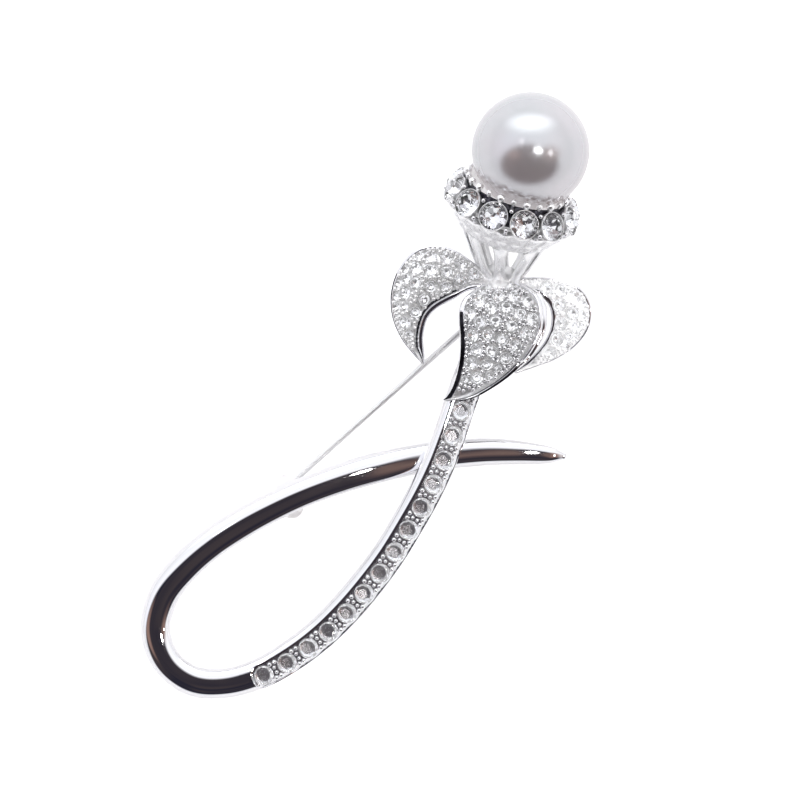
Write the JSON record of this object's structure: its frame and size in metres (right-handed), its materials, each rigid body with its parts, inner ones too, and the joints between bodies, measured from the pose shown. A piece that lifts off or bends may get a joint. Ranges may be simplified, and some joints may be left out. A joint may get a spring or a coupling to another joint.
{
  "type": "flower bud brooch",
  "caption": "Flower bud brooch: a looped stem with a row of stones, stone-set leaves, and a crown of stones that carries a pearl, with a hinged pin and a catch on its back.",
  "frame": {"origin": "centre of the brooch's outline, on the surface that its back lies on", "axes": "+X to the right of the face, +Y from the loop to the pearl, +Z out of the face"},
  "size_m": [0.0458, 0.0617, 0.0151],
  "materials": {
    "bright_metal": "polished white metal plating",
    "pin_steel": "drawn steel wire",
    "clear_stone": "clear cut crystal with a mirror back",
    "pearl": "pearl lustre over a round bead"
  },
  "bodies": {
    "brooch": {"stem": "bright_metal", "calyx": "bright_metal", "crown": "bright_metal", "pearl": "pearl", "collar_stone_01": "clear_stone", "collar_stone_02": "clear_stone", "collar_stone_03": "clear_stone", "collar_stone_04": "clear_stone", "collar_stone_05": "clear_stone", "collar_stone_06": "clear_stone", "collar_stone_07": "clear_stone", "collar_stone_08": "clear_stone", "collar_stone_09": "clear_stone", "collar_stone_10": "clear_stone", "collar_stone_11": "clear_stone", "collar_stone_12": "clear_stone", "stem_stone_01": "clear_stone", "stem_stone_02": "clear_stone", "stem_stone_03": "clear_stone", "stem_stone_04": "clear_stone", "stem_stone_05": "clear_stone", "stem_stone_06": "clear_stone", "stem_stone_07": "clear_stone", "stem_stone_08": "clear_stone", "stem_stone_09": "clear_stone", "stem_stone_10": "clear_stone", "stem_stone_11": "clear_stone", "stem_stone_12": "clear_stone", "stem_stone_13": "clear_stone", "stem_stone_14": "clear_stone", "left_leaf_stones": "clear_stone", "front_leaf_stones": "clear_stone", "right_leaf_stones": "clear_stone", "catch": "bright_metal", "hinge_bracket": "bright_metal", "hinge_rivet": "pin_steel"},
    "pin": {"pin_stem": "pin_steel"}
  },
  "joints": [
    {"name": "pin_hinge", "type": "hinge", "parent": "brooch", "child": "pin", "pos_m": [0.0119, 0.00853, 0.00125], "axis": [0.6652, -0.7466, 0], "range_deg": [0, 70]}
  ]
}
